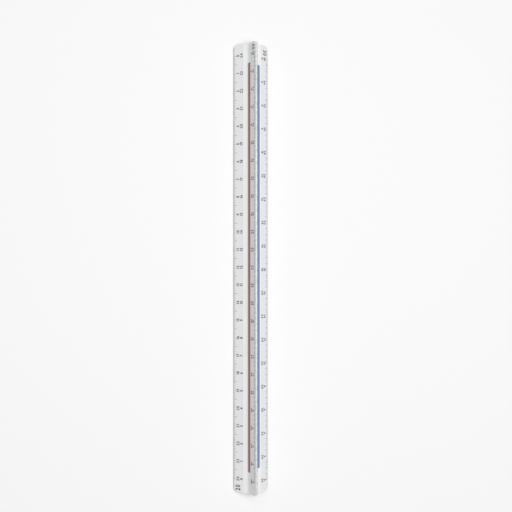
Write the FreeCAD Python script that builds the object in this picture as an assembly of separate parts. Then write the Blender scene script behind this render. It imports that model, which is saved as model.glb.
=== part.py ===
"""Triangular engineer's scale: one solid bar with three blades, three painted flutes and six printed scales.

The bar lies along X with its middle at X = 0 and rests on two blade tips at Z = 0, ridge up.
The section is drawn in the YZ plane about the bar's axis and has threefold symmetry.
"""
import math
import os

import FreeCAD
import Part

os.makedirs("parts", exist_ok=True)

# Overall sizes, mm
LENGTH = 323.0            # end to end
TIP_RADIUS = 14.2         # axis to the outermost blade tip

# Blade section
TIP_HALF_FLAT = 0.55      # half of the flat along the very tip
REST_LAND = 0.40          # narrow strip beside the tip, in the plane the bar rests on
CREASE_AT = 0.4225        # crease's distance from the axis, as a fraction of TIP_RADIUS
CREASE_HALF = 0.176       # blade's half thickness at the crease, same fraction
FLUTE_AT = 0.211          # where the flute's two walls would meet, same fraction
FLUTE_ROUND = 3.0         # radius along the flute bottom
CREASE_ROUND = 0.6        # radius along the crease
TIP_ROUND = 0.12          # radius along the tip's edges
END_CORNER = 3.8          # radius of each blade's outer corner at the bar's ends

# Painted stripes
STRIPE_WIDTH = 3.9
STRIPE_SHIFT = 0.95       # the stripe sits this far off the flute's middle, towards the next blade
STRIPE_DEPTH = 0.15
STRIPE_CORNER = 1.2

# Printed scales
INCH = 25.4
SCALE_INCHES = 12
INK = 0.03                # how far the print stands proud
FINE_WIDTH = 0.17         # line width of the unit ticks
LONG_WIDTH = 0.22         # line width of the other ticks
TICK_MARGIN = 0.15        # bare plastic between the rest land and the ticks
FINE_TICK = 1.15          # one division
LABEL_TICK = 1.25         # a division that carries a numeral
MIDDLE_TICK = 2.4         # every other fifth division
END_TICK = 2.4            # the first and the last line of a scale

BLADES = {"ridge": 90.0, "front": 210.0, "rear": 330.0}   # blade directions in the YZ plane, degrees
# scale: its blade, the side of the blade (+1 anticlockwise, -1 clockwise), divisions per inch and per
# numeral, and how far the print's middle lies from the bar's middle; one face is printed in one pass
SCALES = {
    "scale_40_ink": ("ridge", +1, 40, 20, -0.85),
    "scale_60_ink": ("ridge", -1, 60, 20, 0.7),
    "scale_20_ink": ("front", -1, 20, 10, -0.85),
    "scale_10_ink": ("front", +1, 10, 10, 0.0),
    "scale_30_ink": ("rear", +1, 30, 20, 0.7),
    "scale_50_ink": ("rear", -1, 50, 20, 0.0),
}
# stripe: the direction of its flute, and the bare length left at the bar's -X and +X ends
STRIPES = {
    "stripe_red": (150.0, 13.8, 15.1),
    "stripe_blue": (30.0, 14.9, 17.7),
    "stripe_green": (270.0, 14.0, 16.0),
}

LAND_DROP = REST_LAND * math.cos(math.radians(30))
LAND_HALF = TIP_HALF_FLAT + REST_LAND * math.sin(math.radians(30))
FACE_DISTANCE = TIP_RADIUS / 2 + TIP_HALF_FLAT * math.cos(math.radians(30))   # axis to the rest plane
CREASE_RADIUS = CREASE_AT * TIP_RADIUS
CREASE_THICK = CREASE_HALF * TIP_RADIUS


def turn(along, across, degrees):
    """A point given along and across a direction of the section, as (y, z)."""
    a = math.radians(degrees)
    return (along * math.cos(a) - across * math.sin(a), along * math.sin(a) + across * math.cos(a))


def vector(point, x=0.0):
    return FreeCAD.Vector(x, point[0], point[1])


def rounded_wire(corners, x):
    """A closed wire through corners [(point, radius)], each rounded by a tangent arc."""
    edges, joins = [], []
    for i, (point, radius) in enumerate(corners):
        here = vector(point, x)
        back = (vector(corners[i - 1][0], x) - here).normalize()
        ahead = (vector(corners[(i + 1) % len(corners)][0], x) - here).normalize()
        half = back.getAngle(ahead) / 2
        reach = radius / math.tan(half)
        middle = here + (back + ahead).normalize() * (radius / math.sin(half) - radius)
        joins.append((here + back * reach, middle, here + ahead * reach))
    for i, (start, middle, end) in enumerate(joins):
        edges.append(Part.Arc(start, middle, end).toShape())
        edges.append(Part.makeLine(end, joins[(i + 1) % len(joins)][0]))
    return Part.Wire(edges)


def section_corners():
    """The section's corners and their radii, anticlockwise."""
    corners = []
    for angle in BLADES.values():
        corners += [
            (turn(CREASE_RADIUS, -CREASE_THICK, angle), CREASE_ROUND),
            (turn(TIP_RADIUS - LAND_DROP, -LAND_HALF, angle), TIP_ROUND),
            (turn(TIP_RADIUS, -TIP_HALF_FLAT, angle), TIP_ROUND),
            (turn(TIP_RADIUS, TIP_HALF_FLAT, angle), TIP_ROUND),
            (turn(TIP_RADIUS - LAND_DROP, LAND_HALF, angle), TIP_ROUND),
            (turn(CREASE_RADIUS, CREASE_THICK, angle), CREASE_ROUND),
            (turn(FLUTE_AT * TIP_RADIUS, 0, angle + 60), FLUTE_ROUND),
        ]
    return corners


def end_corner_cutter(angle, end):
    """What rounding one blade's outer corner takes away at one end of the bar."""
    r, side = END_CORNER, 2 * CREASE_THICK
    centre = (end * (LENGTH / 2 - r), TIP_RADIUS - r)
    block = Part.makeBox(r + 1, side, r + 1, FreeCAD.Vector(centre[0] if end > 0 else centre[0] - r - 1,
                                                           -side / 2, centre[1]))
    rod = Part.makeCylinder(r, side, FreeCAD.Vector(centre[0], -side / 2, centre[1]), FreeCAD.Vector(0, 1, 0))
    cutter = block.cut(rod)
    cutter.rotate(FreeCAD.Vector(0, 0, 0), FreeCAD.Vector(1, 0, 0), angle - 90)
    return cutter


def lift(shape):
    """Raise a shape drawn about the bar's axis so that the bar rests on Z = 0."""
    shape.translate(FreeCAD.Vector(0, 0, FACE_DISTANCE))
    return shape


# The bar: extrude the section, then round the blades' outer corners
section = Part.Face(rounded_wire(section_corners(), -LENGTH / 2))
bar = section.extrude(FreeCAD.Vector(LENGTH, 0, 0))
bar = bar.cut([end_corner_cutter(angle, end) for angle in BLADES.values() for end in (-1, 1)])

# The stripes: a thin skin of each flute, between the section and a copy of it set in by the stripe's depth
inner = Part.Face(section.OuterWire.makeOffset2D(-STRIPE_DEPTH)).extrude(FreeCAD.Vector(LENGTH, 0, 0))
stripes = {}
for name, (angle, start_gap, end_gap) in STRIPES.items():
    block = Part.makeBox(LENGTH - start_gap - end_gap, STRIPE_WIDTH, TIP_RADIUS / 2,
                         FreeCAD.Vector(start_gap - LENGTH / 2, STRIPE_SHIFT - STRIPE_WIDTH / 2, 0.5))
    uprights = [e for e in block.Edges if abs(e.tangentAt(e.FirstParameter).z) > 0.9]
    block = block.makeFillet(STRIPE_CORNER, uprights)
    block.rotate(FreeCAD.Vector(0, 0, 0), FreeCAD.Vector(1, 0, 0), angle - 90)
    stripes[name] = block.common(bar).cut(inner)
body = bar.cut(list(stripes.values()))


def tick(x, length, width, blade, side):
    """One printed line across the bevel, starting beside the blade's tip."""
    start = turn(TIP_RADIUS - LAND_DROP, side * LAND_HALF, BLADES[blade])
    crease = turn(CREASE_RADIUS, side * CREASE_THICK, BLADES[blade])
    slope = math.degrees(math.atan2(crease[1] - start[1], crease[0] - start[0]))
    low = TICK_MARGIN if side < 0 else -TICK_MARGIN - length
    line = Part.makeBox(width, length, INK, FreeCAD.Vector(x - width / 2, low, 0))
    line.rotate(FreeCAD.Vector(0, 0, 0), FreeCAD.Vector(1, 0, 0), slope if side < 0 else slope + 180)
    line.translate(vector(start))
    return line


def graduations(blade, side, per_inch, per_numeral, shift):
    """Every printed line of one scale: unit, middle and numbered ticks, and the first and last lines."""
    count = SCALE_INCHES * per_inch
    lines = []
    for i in range(count + 1):
        if i in (0, count):
            length, width = END_TICK, LONG_WIDTH
        elif i % per_numeral == 0:
            length, width = LABEL_TICK, LONG_WIDTH
        elif i % 5 == 0:
            length, width = MIDDLE_TICK, LONG_WIDTH
        else:
            length, width = FINE_TICK, FINE_WIDTH
        lines.append(tick((i / per_inch - SCALE_INCHES / 2) * INCH + shift, length, width, blade, side))
    return Part.makeCompound(lines)


nodes = {"ruler_body": body, **stripes}
for name, scale in SCALES.items():
    nodes[name] = graduations(*scale)

for name, shape in nodes.items():
    lift(shape).exportStep("parts/%s.step" % name)
    box = shape.BoundBox
    print("%-14s %3d solids, %8.2f mm3, %6.2f x %5.2f x %5.2f mm, z from %.3f, valid %s" % (
        name, len(shape.Solids), shape.Volume, box.XLength, box.YLength, box.ZLength, box.ZMin,
        shape.isValid()))
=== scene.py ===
# %% [markdown]
# # A triangular engineer's scale
# The object is one bar of white plastic with three blades. A painted stripe lies in each flute, and a scale
# is printed along both sides of every blade. The bar, the stripes and every printed line come from the CAD
# frame, so they are already true to the inch. Left to make here are the numerals, the finishes and the light.

# %% Open the frame
import math

import bpy
from mathutils import Matrix, Vector


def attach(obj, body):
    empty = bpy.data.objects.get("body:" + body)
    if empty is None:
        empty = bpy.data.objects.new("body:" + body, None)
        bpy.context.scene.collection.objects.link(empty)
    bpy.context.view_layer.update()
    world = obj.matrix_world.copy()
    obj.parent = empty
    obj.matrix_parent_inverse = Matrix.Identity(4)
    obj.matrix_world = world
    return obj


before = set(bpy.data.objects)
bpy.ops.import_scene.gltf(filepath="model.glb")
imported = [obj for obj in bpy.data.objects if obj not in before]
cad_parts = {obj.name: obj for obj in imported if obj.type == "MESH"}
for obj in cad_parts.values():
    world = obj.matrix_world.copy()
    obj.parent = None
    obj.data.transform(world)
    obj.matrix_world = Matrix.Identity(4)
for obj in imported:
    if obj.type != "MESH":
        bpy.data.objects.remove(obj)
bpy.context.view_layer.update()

print("CAD nodes:", sorted(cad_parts))

# %% [markdown]
# ## The section of the bar
# The numerals have to lie on the printed bevels, so their planes are worked out from the same few sizes as
# the bar itself. They could be read off the mesh, but a named size says what it is. All sizes are in metres.

# %% Sizes of the section
MM = 0.001
INCH = 25.4 * MM
SCALE_LENGTH = 12 * INCH
TIP_RADIUS = 14.2 * MM          # axis to blade tip
LAND_DROP = 0.3464 * MM         # from the tip to where the bevel starts, along the blade
LAND_HALF = 0.75 * MM           # half thickness of the blade there
CREASE_RADIUS = 0.4225 * TIP_RADIUS
CREASE_HALF = 0.176 * TIP_RADIUS
AXIS_HEIGHT = 7.5763 * MM       # the axis above the table

BLADES = {"ridge": 90.0, "front": 210.0, "rear": 330.0}
# scale, in divisions per inch: blade, side of the blade (+1 anticlockwise), divisions per numeral, and
# how far the middle of the print lies from the middle of the bar
SCALES = {
    10: ("front", +1, 10, 0.0), 20: ("front", -1, 10, -0.85 * MM), 30: ("rear", +1, 20, 0.7 * MM),
    40: ("ridge", +1, 20, -0.85 * MM), 50: ("rear", -1, 20, 0.0), 60: ("ridge", -1, 20, 0.7 * MM),
}
print("scales:", {scale: SCALE_LENGTH / INCH * scale for scale in SCALES}, "divisions")


def in_section(along, across, degrees):
    """A point along and across a blade's direction, in the row frame at x = 0."""
    a = math.radians(degrees)
    return Vector((0, along * math.cos(a) - across * math.sin(a),
                   AXIS_HEIGHT + along * math.sin(a) + across * math.cos(a)))


def bevel_matrix(scale):
    """One scale's printed plane: x the way its numerals read, y up to the blade's edge, z outwards."""
    blade, side, _, shift = SCALES[scale]
    edge = in_section(TIP_RADIUS - LAND_DROP, side * LAND_HALF, BLADES[blade])
    crease = in_section(CREASE_RADIUS, side * CREASE_HALF, BLADES[blade])
    up = (edge - crease).normalized()
    reading = Vector((side, 0, 0))
    plane = Matrix((reading, up, reading.cross(up))).transposed().to_4x4()
    plane.translation = edge + Vector((shift, 0, 0))
    return plane


for scale in SCALES:
    print(scale, "scale reads along x", int(bevel_matrix(scale)[0][0]), "and faces",
          [round(v, 2) for v in bevel_matrix(scale).col[2][:3]])

# %% [markdown]
# ## Digits
# The real numerals are printed with the lines, in a plain sans type. One text object per numeral would be
# simple but would leave hundreds of pieces, so each digit is turned into a mesh once and its copies are
# set into one mesh per scale. The digits are a hair thick, as ink is, and so are closed solids.

# %% Cut the digits
INK_DEPTH = 0.03 * MM
HALF_DEPTH = 0.5                 # digits are cut one unit deep, then scaled to INK_DEPTH
TYPE_WEIGHT = 0.03               # how far the strokes are thickened, in type sizes
CURVE_STEPS = 5


def cut_digit(character):
    """Outline of one digit as (points, faces, width), with its height set to 1 and standing on y = 0."""
    curve = bpy.data.curves.new("digit_" + character, "FONT")
    curve.body = character
    curve.size = 1.0
    curve.extrude = HALF_DEPTH
    curve.offset = TYPE_WEIGHT
    curve.resolution_u = CURVE_STEPS
    holder = bpy.data.objects.new("digit_" + character, curve)
    mesh = bpy.data.meshes.new_from_object(holder)
    points = [v.co.copy() for v in mesh.vertices]
    faces = [tuple(p.vertices) for p in mesh.polygons]
    bpy.data.objects.remove(holder)
    bpy.data.curves.remove(curve)
    bpy.data.meshes.remove(mesh)
    left, right = min(p.x for p in points), max(p.x for p in points)
    low, high = min(p.y for p in points), max(p.y for p in points)
    height = high - low
    points = [Vector(((p.x - left) / height, (p.y - low) / height, p.z)) for p in points]
    return points, faces, (right - left) / height


# %% [markdown]
# The built-in type has a bare upright bar for its 1, so that 10 reads as two letters. The 1 gets an outline
# of its own, a stem with a flag, which keeps it apart from a tick as well.

# %% Draw the 1
# the outline, anticlockwise from the foot of the stem, in digit heights
FLAGGED_ONE = [(0.20, 0.0), (0.40, 0.0), (0.40, 1.0), (0.26, 1.0), (0.0, 0.83), (0.0, 0.65), (0.20, 0.78)]


def flat_digit(outline):
    """A digit from one closed outline, in the same form as cut_digit gives."""
    count = len(outline)
    points = [Vector((x, y, z)) for z in (-HALF_DEPTH, HALF_DEPTH) for x, y in outline]
    faces = [tuple(reversed(range(count))), tuple(range(count, 2 * count))]
    faces += [(i, (i + 1) % count, count + (i + 1) % count, count + i) for i in range(count)]
    return points, faces, max(x for x, _ in outline)


DIGITS = {character: cut_digit(character) for character in "023456789"}
DIGITS["1"] = flat_digit(FLAGGED_ONE)
print("digit widths:", {c: round(width, 2) for c, (_, _, width) in DIGITS.items()})

# %% [markdown]
# ## Numerals on the six scales
# Each scale carries two rows, so that it can be read from either end: the row by the edge counts one way
# and the row below it the other way. The larger number beyond the first line is the name of the scale.

# %% Set the numerals
DIGIT_HEIGHT = 2.3 * MM
NAME_HEIGHT = 4.1 * MM
DIGIT_SLIMNESS = 0.85            # set width of the type
NAME_SLIMNESS = 0.62             # the names are taller and narrower
DIGIT_GAP = 0.16                 # space between digits, in digit heights
ROW_BY_EDGE = -4.55 * MM         # foot of each row, measured from the edge
ROW_INSIDE = -7.5 * MM
NAME_FOOT = -5.4 * MM
# from the first line to the middle of the scale's name
NAME_MARGINS = {10: 5.0 * MM, 20: 6.4 * MM, 30: 4.4 * MM, 40: 4.6 * MM, 50: 5.0 * MM, 60: 4.6 * MM}


def number_length(number, height, slimness):
    """How long a number is when set."""
    characters = str(number)
    return height * (slimness * sum(DIGITS[c][2] for c in characters) + DIGIT_GAP * (len(characters) - 1))


def set_number(number, middle, foot, height, slimness, points, faces):
    """Adds a number centred on x = middle to a list of points and faces lying in a printed plane."""
    x = middle - number_length(number, height, slimness) / 2
    for character in str(number):
        outline, loops, width = DIGITS[character]
        first = len(points)
        points += [Vector((x + p.x * slimness * height, foot + p.y * height,
                           (p.z + HALF_DEPTH) * INK_DEPTH)) for p in outline]
        faces += [tuple(first + i for i in loop) for loop in loops]
        x += (width * slimness + DIGIT_GAP) * height


def print_piece(name, scale, numbers, height, slimness):
    """One piece of print on a scale's plane, from [(number, middle, foot)]."""
    points, faces = [], []
    for number, middle, foot in numbers:
        set_number(number, middle, foot, height, slimness, points, faces)
    plane = bevel_matrix(scale)
    mesh = bpy.data.meshes.new(name)
    mesh.from_pydata([plane @ p for p in points], [], faces)
    mesh.update()
    piece = bpy.data.objects.new(name, mesh)
    bpy.context.scene.collection.objects.link(piece)
    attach(piece, "root")
    return piece


numerals = []
for scale, (_, _, per_numeral, _) in SCALES.items():
    step = per_numeral * INCH / scale
    top = round(SCALE_LENGTH / step)
    unit = per_numeral // 10
    places = [(i * unit, -SCALE_LENGTH / 2 + i * step) for i in range(top + 1)]
    rows = [(number, x, ROW_INSIDE) for number, x in places]
    rows += [(top * unit - number, x, ROW_BY_EDGE) for number, x in places]
    numerals.append(print_piece("scale_%d_numerals" % scale, scale, rows, DIGIT_HEIGHT, DIGIT_SLIMNESS))
    name_place = [(scale, -SCALE_LENGTH / 2 - NAME_MARGINS[scale], NAME_FOOT)]
    name_piece = print_piece("scale_%d_name" % scale, scale, name_place, NAME_HEIGHT, NAME_SLIMNESS)
    numerals.append(name_piece)
    clear = NAME_MARGINS[scale] - number_length(scale, NAME_HEIGHT, NAME_SLIMNESS) / 2
    clear -= number_length(top * unit, DIGIT_HEIGHT, DIGIT_SLIMNESS) / 2
    print(scale, "scale: numerals 0 to", top * unit, "every %.3f in," % (step / INCH),
          "%.2f mm between the name and the first numeral" % (clear / MM))

# %% [markdown]
# ## Finishes: shared effects
# Each effect is a node group with its own inputs. Drawing lines, the faint lengthwise marks that the die
# leaves, are shared by the plastic and the paints. Print grain, which breaks up the cover very slightly, is
# shared by the ink and the paints. Handling is the smudging of a tool in daily use. Blade zones tell the matt
# printed bevel from the glossy flute, and find the greyed blade tips. Only the plastic uses those two.

# %% Helpers for node groups
def start_group(name, inputs, outputs):
    """A shader node group with float or vector inputs {name: default} and float outputs."""
    group = bpy.data.node_groups.new(name, "ShaderNodeTree")
    for label, value in inputs.items():
        kind = "NodeSocketVector" if isinstance(value, tuple) else "NodeSocketFloat"
        group.interface.new_socket(label, in_out="INPUT", socket_type=kind).default_value = value
    for label in outputs:
        group.interface.new_socket(label, in_out="OUTPUT", socket_type="NodeSocketFloat")
    return group, group.nodes.new("NodeGroupInput"), group.nodes.new("NodeGroupOutput")


def math_node(tree, operation, a, b=None, clamp=False):
    """A Math node whose inputs are sockets or numbers; returns its output."""
    node = tree.nodes.new("ShaderNodeMath")
    node.operation = operation
    node.use_clamp = clamp
    for socket, value in zip(node.inputs, (a, b)):
        if value is None:
            continue
        if isinstance(value, bpy.types.NodeSocket):
            tree.links.new(value, socket)
        else:
            socket.default_value = value
    return node.outputs[0]


def noise_node(tree, vector, scale, detail=2.0, roughness=0.5):
    """A Noise texture on a vector; scale is a socket or a number."""
    node = tree.nodes.new("ShaderNodeTexNoise")
    node.inputs["Detail"].default_value = detail
    node.inputs["Roughness"].default_value = roughness
    tree.links.new(vector, node.inputs["Vector"])
    if isinstance(scale, bpy.types.NodeSocket):
        tree.links.new(scale, node.inputs["Scale"])
    else:
        node.inputs["Scale"].default_value = scale
    return node.outputs["Fac"]


def range_node(tree, value, low, high):
    """Maps value from low..high to 0..1, smoothly and clamped."""
    node = tree.nodes.new("ShaderNodeMapRange")
    node.interpolation_type = "SMOOTHSTEP"
    tree.links.new(value, node.inputs["Value"])
    for socket, bound in ((node.inputs["From Min"], low), (node.inputs["From Max"], high)):
        if isinstance(bound, bpy.types.NodeSocket):
            tree.links.new(bound, socket)
        else:
            socket.default_value = bound
    return node.outputs["Result"]


def object_point(tree):
    """The point in the row frame, in metres."""
    return tree.nodes.new("ShaderNodeTexCoord").outputs["Object"]


# %% Drawing lines: noise stretched along the bar
drawing_lines, lines_in, lines_out = start_group(
    "drawing_lines", {"Fineness": 2200.0, "Stretch": (0.02, 1.0, 1.0)}, ["Lines"])
stretched = drawing_lines.nodes.new("ShaderNodeVectorMath")
stretched.operation = "MULTIPLY"
drawing_lines.links.new(object_point(drawing_lines), stretched.inputs[0])
drawing_lines.links.new(lines_in.outputs["Stretch"], stretched.inputs[1])
lines = noise_node(drawing_lines, stretched.outputs[0], lines_in.outputs["Fineness"], detail=3.0)
drawing_lines.links.new(lines, lines_out.inputs["Lines"])
print("group", drawing_lines.name)

# %% Handling: broad smudges with a ragged outline
SMUDGE_FROM, SMUDGE_FULL = 0.46, 0.72

handling, handling_in, handling_out = start_group("handling", {"Scale": 60.0, "Amount": 1.0}, ["Smudges"])
broad = noise_node(handling, object_point(handling), handling_in.outputs["Scale"], detail=4.0, roughness=0.6)
smudges = range_node(handling, broad, SMUDGE_FROM, SMUDGE_FULL)
smudges = math_node(handling, "MULTIPLY", smudges, handling_in.outputs["Amount"])
handling.links.new(smudges, handling_out.inputs["Smudges"])
print("group", handling.name)

# %% Blade zones: printed bevel, blade tip, and wear broken up along the tip
CREASE_DISTANCE = math.hypot(CREASE_RADIUS, CREASE_HALF)
CREASE_BLUR = 0.2 * MM           # half the width over which the bevel's finish fades in
PATCH_SCALE = 420.0
PATCH_FROM, PATCH_FULL = 0.42, 0.66

blade_zones, zones_in, zones_out = start_group(
    "blade_zones", {"Tip Radius": TIP_RADIUS, "Axis Height": AXIS_HEIGHT, "Width": 0.5 * MM,
                    "Bevel Start": CREASE_DISTANCE - CREASE_BLUR,
                    "Bevel Full": CREASE_DISTANCE + CREASE_BLUR},
    ["Wear", "Nearness", "Bevel"])
split = blade_zones.nodes.new("ShaderNodeSeparateXYZ")
blade_zones.links.new(object_point(blade_zones), split.inputs[0])
above = math_node(blade_zones, "SUBTRACT", split.outputs["Z"], zones_in.outputs["Axis Height"])
sideways = math_node(blade_zones, "MULTIPLY", split.outputs["Y"], split.outputs["Y"])
squares = math_node(blade_zones, "ADD", sideways, math_node(blade_zones, "MULTIPLY", above, above))
radius = math_node(blade_zones, "SQRT", squares)
start = math_node(blade_zones, "SUBTRACT", zones_in.outputs["Tip Radius"], zones_in.outputs["Width"])
nearness = range_node(blade_zones, radius, start, zones_in.outputs["Tip Radius"])
cloud = noise_node(blade_zones, object_point(blade_zones), PATCH_SCALE, detail=4.0)
patches = range_node(blade_zones, cloud, PATCH_FROM, PATCH_FULL)
bevel = range_node(blade_zones, radius, zones_in.outputs["Bevel Start"], zones_in.outputs["Bevel Full"])
blade_zones.links.new(math_node(blade_zones, "MULTIPLY", nearness, patches), zones_out.inputs["Wear"])
blade_zones.links.new(nearness, zones_out.inputs["Nearness"])
blade_zones.links.new(bevel, zones_out.inputs["Bevel"])
print("group", blade_zones.name, "bevel starts %.2f mm from the axis" % (1000 * CREASE_DISTANCE))

# %% Print grain: the fine uneven cover of ink and paint
COVER_SOFTNESS = 0.12

print_grain, grain_in, grain_out = start_group(
    "print_grain", {"Scale": 5200.0, "Cover": 0.34}, ["Bare", "Grain"])
fine = noise_node(print_grain, object_point(print_grain), grain_in.outputs["Scale"], detail=3.0)
bare = range_node(print_grain, fine, grain_in.outputs["Cover"],
                  math_node(print_grain, "SUBTRACT", grain_in.outputs["Cover"], COVER_SOFTNESS))
print_grain.links.new(bare, grain_out.inputs["Bare"])
print_grain.links.new(fine, grain_out.inputs["Grain"])
print("group", print_grain.name)

# %% [markdown]
# ## Finishes: plastic and ink
# Each finish starts as an ordinary Principled surface. The effects then change its colour, roughness and
# height a little, and never so much that the print stops being easy to read.

# %% Helpers for materials
def start_material(name, roughness, ior):
    """A material with a bare Principled surface; returns it, its tree and that surface."""
    material = bpy.data.materials.new(name)
    material.use_nodes = True
    surface = material.node_tree.nodes["Principled BSDF"]
    surface.inputs["Roughness"].default_value = roughness
    surface.inputs["IOR"].default_value = ior
    return material, material.node_tree, surface


def use_group(tree, group, **values):
    """Places a node group in a material, with its own input values given by name."""
    node = tree.nodes.new("ShaderNodeGroup")
    node.node_tree = group
    for label, value in values.items():
        node.inputs[label.replace("_", " ")].default_value = value
    return node


def blend_colour(tree, mask, first, second):
    """A colour Mix; first and second are sockets or (r, g, b)."""
    node = tree.nodes.new("ShaderNodeMix")
    node.data_type = "RGBA"
    tree.links.new(mask, node.inputs["Factor"])
    for socket, colour in ((node.inputs["A"], first), (node.inputs["B"], second)):
        if isinstance(colour, bpy.types.NodeSocket):
            tree.links.new(colour, socket)
        else:
            socket.default_value = (*colour, 1.0)
    return node.outputs["Result"]


def bump_from(tree, surface, height, distance):
    """Feeds a height in 0..1 to the surface's normal; distance is the full height in metres."""
    bump = tree.nodes.new("ShaderNodeBump")
    bump.inputs["Strength"].default_value = 1.0
    bump.inputs["Distance"].default_value = distance
    tree.links.new(height, bump.inputs["Height"])
    tree.links.new(bump.outputs["Normal"], surface.inputs["Normal"])


# %% White plastic
WHITE = (0.845, 0.85, 0.86)
SOILED = (0.78, 0.775, 0.76)
TIP_DARK_GREY = (0.50, 0.495, 0.485)
BEVEL_SHADE_WHITE = (0.765, 0.77, 0.78)   # the printed bevels are matt, and their greyer white is painted shade that darkens them beside the flutes
TIP_WIDTH = 1.2 * MM
TIP_GREY = 0.75                     # how much of that grey darkens the very tip, evenly all along it
PATCH_GREY = 0.4                    # and how much more in the worn patches
SURFACE_RELIEF = 0.006 * MM         # height of the die's lines, and of the ink's grain
# roughness of the clean flute, and what smudges, die lines and the bevel add to it
FLUTE_ROUGHNESS = 0.24
SMUDGE_ROUGHNESS, LINE_ROUGHNESS, BEVEL_ROUGHNESS = 0.22, 0.12, 0.14

white_plastic, tree, surface = start_material("white_plastic", roughness=FLUTE_ROUGHNESS, ior=1.49)
die_lines = use_group(tree, drawing_lines, Fineness=2400.0)
smudged = use_group(tree, handling, Scale=55.0, Amount=0.45)
zones = use_group(tree, blade_zones, Width=TIP_WIDTH)
bare_bevel = math_node(tree, "SUBTRACT", zones.outputs["Bevel"], zones.outputs["Nearness"], clamp=True)
# painted shade: the bare bevels are mixed towards a greyer white so that they read darker than the flutes
colour = blend_colour(tree, bare_bevel, WHITE, BEVEL_SHADE_WHITE)
colour = blend_colour(tree, smudged.outputs["Smudges"], colour, SOILED)
tip_grey = math_node(tree, "MULTIPLY", zones.outputs["Nearness"], TIP_GREY)
patch_grey = math_node(tree, "MULTIPLY", zones.outputs["Wear"], PATCH_GREY)
tip_grey = math_node(tree, "ADD", tip_grey, patch_grey, clamp=True)
# the tip is greyed evenly all along its length, and the worn patches add more grey on top of that
colour = blend_colour(tree, tip_grey, colour, TIP_DARK_GREY)
tree.links.new(colour, surface.inputs["Base Color"])
rough = math_node(tree, "ADD", math_node(tree, "MULTIPLY", smudged.outputs["Smudges"], SMUDGE_ROUGHNESS),
                  math_node(tree, "MULTIPLY", die_lines.outputs["Lines"], LINE_ROUGHNESS))
rough = math_node(tree, "ADD", rough, FLUTE_ROUGHNESS)
rough = math_node(tree, "ADD", rough, math_node(tree, "MULTIPLY", bare_bevel, BEVEL_ROUGHNESS))
tree.links.new(rough, surface.inputs["Roughness"])
bump_from(tree, surface, die_lines.outputs["Lines"], SURFACE_RELIEF)
print("material", white_plastic.name)

# %% Printing ink
INK_BLACK = (0.045, 0.045, 0.05)
INK_THIN = (0.16, 0.16, 0.165)

printing_ink, tree, surface = start_material("printing_ink", roughness=0.55, ior=1.5)
grain = use_group(tree, print_grain, Scale=6000.0, Cover=0.40)
colour = blend_colour(tree, grain.outputs["Bare"], INK_BLACK, INK_THIN)
tree.links.new(colour, surface.inputs["Base Color"])
bump_from(tree, surface, grain.outputs["Grain"], SURFACE_RELIEF)
print("material", printing_ink.name)


# %% [markdown]
# ## Stripe paint
# The stripes are laid in the flutes as thick paint. It is a little thinner and paler along one side, where
# it was wiped up the flute's wall, and it shows fine streaks the way the bar was pulled. The three stripes
# share one recipe and differ only in colour and in the direction of their flute.

# %% Paint edge: how far a point lies across the stripe
paint_edge, edge_in, edge_out = start_group(
    "paint_edge",
    {"Across": (0.0, 1.0, 0.0), "Axis Height": AXIS_HEIGHT, "Low": -1.0 * MM, "High": 0.2 * MM},
    ["Thin Side"])
lifted = paint_edge.nodes.new("ShaderNodeCombineXYZ")
paint_edge.links.new(edge_in.outputs["Axis Height"], lifted.inputs["Z"])
from_axis = paint_edge.nodes.new("ShaderNodeVectorMath")
from_axis.operation = "SUBTRACT"
paint_edge.links.new(object_point(paint_edge), from_axis.inputs[0])
paint_edge.links.new(lifted.outputs[0], from_axis.inputs[1])
across = paint_edge.nodes.new("ShaderNodeVectorMath")
across.operation = "DOT_PRODUCT"
paint_edge.links.new(from_axis.outputs[0], across.inputs[0])
paint_edge.links.new(edge_in.outputs["Across"], across.inputs[1])
thick_side = range_node(paint_edge, across.outputs["Value"], edge_in.outputs["Low"], edge_in.outputs["High"])
thin_side = math_node(paint_edge, "SUBTRACT", 1.0, thick_side)
paint_edge.links.new(thin_side, edge_out.inputs["Thin Side"])
print("group", paint_edge.name)

# %% Mix the three paints
# stripe: colour, paler colour where the paint is thin, direction of the flute in degrees
PAINTS = {
    "stripe_red": ((0.285, 0.105, 0.098), (0.60, 0.46, 0.455), 150.0),
    "stripe_blue": ((0.165, 0.235, 0.405), (0.55, 0.61, 0.72), 30.0),
    "stripe_green": ((0.06, 0.24, 0.12), (0.50, 0.66, 0.54), 270.0),
}
# how much of the paler colour shows on the thin side, in the streaks and in the grain
THIN_SHARE, STREAK_SHARE, GRAIN_SHARE = 0.75, 0.12, 0.10
STREAK_RELIEF = 0.01 * MM

paints = {}
for name, (full, thin, flute) in PAINTS.items():
    towards = math.radians(flute - 90.0)
    paints[name], tree, surface = start_material(name + "_paint", roughness=0.42, ior=1.5)
    edge = use_group(tree, paint_edge, Across=(0.0, math.cos(towards), math.sin(towards)))
    streaks = use_group(tree, drawing_lines, Fineness=3600.0, Stretch=(0.012, 1.0, 1.0))
    grain = use_group(tree, print_grain, Scale=3000.0, Cover=0.3)
    mask = math_node(tree, "MULTIPLY", edge.outputs["Thin Side"], THIN_SHARE)
    for part, share in ((streaks.outputs["Lines"], STREAK_SHARE), (grain.outputs["Bare"], GRAIN_SHARE)):
        mask = math_node(tree, "ADD", mask, math_node(tree, "MULTIPLY", part, share), clamp=True)
    tree.links.new(blend_colour(tree, mask, full, thin), surface.inputs["Base Color"])
    bump_from(tree, surface, streaks.outputs["Lines"], STREAK_RELIEF)
    print("material", paints[name].name)


# %% Dress every piece
def dress(piece, material):
    """Gives a piece one material, in its existing slot where it has one."""
    if not piece.data.materials:
        piece.data.materials.append(material)
    for slot in piece.material_slots:
        slot.material = material


for name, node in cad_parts.items():
    if name == "ruler_body":
        dress(node, white_plastic)
    elif name in paints:
        dress(node, paints[name])
    else:
        dress(node, printing_ink)
for piece in numerals:
    dress(piece, printing_ink)
print("dressed", len(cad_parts) + len(numerals), "pieces")

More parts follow.
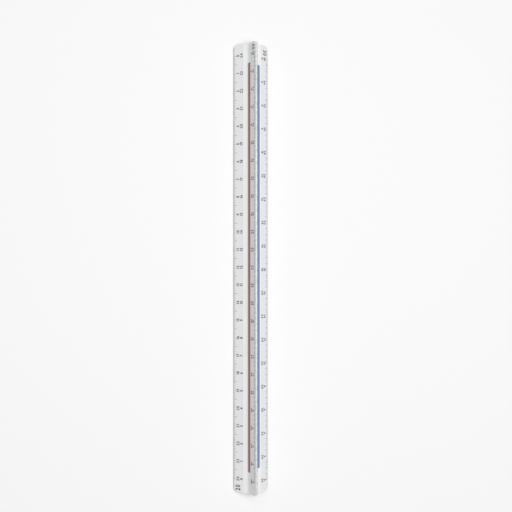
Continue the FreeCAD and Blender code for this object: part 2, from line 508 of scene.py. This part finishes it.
# %% [markdown]
# ## Floor, light and camera
# A pale plain table under wide, soft lights shows white plastic best: the faces of the blades differ only by
# how they turn, so the lights have to come mostly from above. The camera looks almost straight down, from
# a little in front of the ridge, as one looks at a scale on a drawing board.

# %% Table
TABLE_HALF = 4.0                 # half the table's width
TABLE_GREY = 0.82
corners = ((-1, -1), (1, -1), (1, 1), (-1, 1))
table_mesh = bpy.data.meshes.new("table_top")
table_mesh.from_pydata([(x * TABLE_HALF, y * TABLE_HALF, 0) for x, y in corners], [], [(0, 1, 2, 3)])
table_top = bpy.data.objects.new("table_top", table_mesh)
bpy.context.scene.collection.objects.link(table_top)
pale_table, tree, surface = start_material("pale_table", roughness=0.85, ior=1.4)
surface.inputs["Base Color"].default_value = (TABLE_GREY, TABLE_GREY, TABLE_GREY, 1.0)
surface.inputs["Specular IOR Level"].default_value = 0.1
dress(table_top, pale_table)
print("table", 2 * TABLE_HALF, "m wide")


# %% Lights
# name: place in metres, side of the square in metres, power in watts
SOFTBOXES = {
    "top_softbox": ((0.0, 0.3, 1.7), 0.9, 18.0),
    "front_softbox": ((-0.3, -0.3, 1.6), 1.2, 11.0),
}
ROOM_STRENGTH = 0.27
LIGHT_AIM = Vector((0.0, 0.0, 0.0))     # on the table, under the middle of the bar


def soft_light(name, place, size, power):
    """A square area light at a place, facing LIGHT_AIM."""
    data = bpy.data.lights.new(name, "AREA")
    data.shape = "SQUARE"
    data.size = size
    data.energy = power
    lamp = bpy.data.objects.new(name, data)
    bpy.context.scene.collection.objects.link(lamp)
    lamp.location = place
    lamp.rotation_mode = "QUATERNION"
    lamp.rotation_quaternion = (LIGHT_AIM - Vector(place)).to_track_quat("-Z", "Y")


for name, (place, size, power) in SOFTBOXES.items():
    soft_light(name, place, size, power)
world = bpy.data.worlds.new("pale_room")
world.use_nodes = True
world.node_tree.nodes["Background"].inputs["Color"].default_value = (1.0, 1.0, 1.0, 1.0)
world.node_tree.nodes["Background"].inputs["Strength"].default_value = ROOM_STRENGTH
bpy.context.scene.world = world
bpy.context.scene.view_settings.view_transform = "Standard"

# %% Camera
LEAN = math.radians(11.4)        # the camera stands this far in front of the ridge
DISTANCE = 0.80                  # from the axis
SIDE_OFFSET = 2.58 * MM          # the view's middle beside the bar's axis
END_OFFSET = -9.0 * MM           # and along it
VIEW_WIDTH = 368.384 * MM        # what the camera takes in at the axis
SENSOR_WIDTH = 36.0              # in millimetres, as the lens is
CLIP_NEAR, CLIP_FAR = 0.05, 50.0

right = Vector((0, math.cos(LEAN), math.sin(LEAN)))
up = Vector((-1, 0, 0))
back = Vector((0, -math.sin(LEAN), math.cos(LEAN)))
camera_data = bpy.data.cameras.new("camera")
camera_data.sensor_width = SENSOR_WIDTH
camera_data.lens = SENSOR_WIDTH * DISTANCE / VIEW_WIDTH
camera = bpy.data.objects.new("camera", camera_data)
bpy.context.scene.collection.objects.link(camera)
target = Vector((END_OFFSET, 0, AXIS_HEIGHT)) + right * SIDE_OFFSET
turned = Matrix((right, up, back)).transposed().to_4x4()
turned.translation = target + back * DISTANCE
camera.matrix_world = turned
camera_data.clip_start, camera_data.clip_end = CLIP_NEAR, CLIP_FAR
bpy.context.scene.camera = camera
print("camera lens %.1f mm at %.2f m" % (camera_data.lens, DISTANCE))
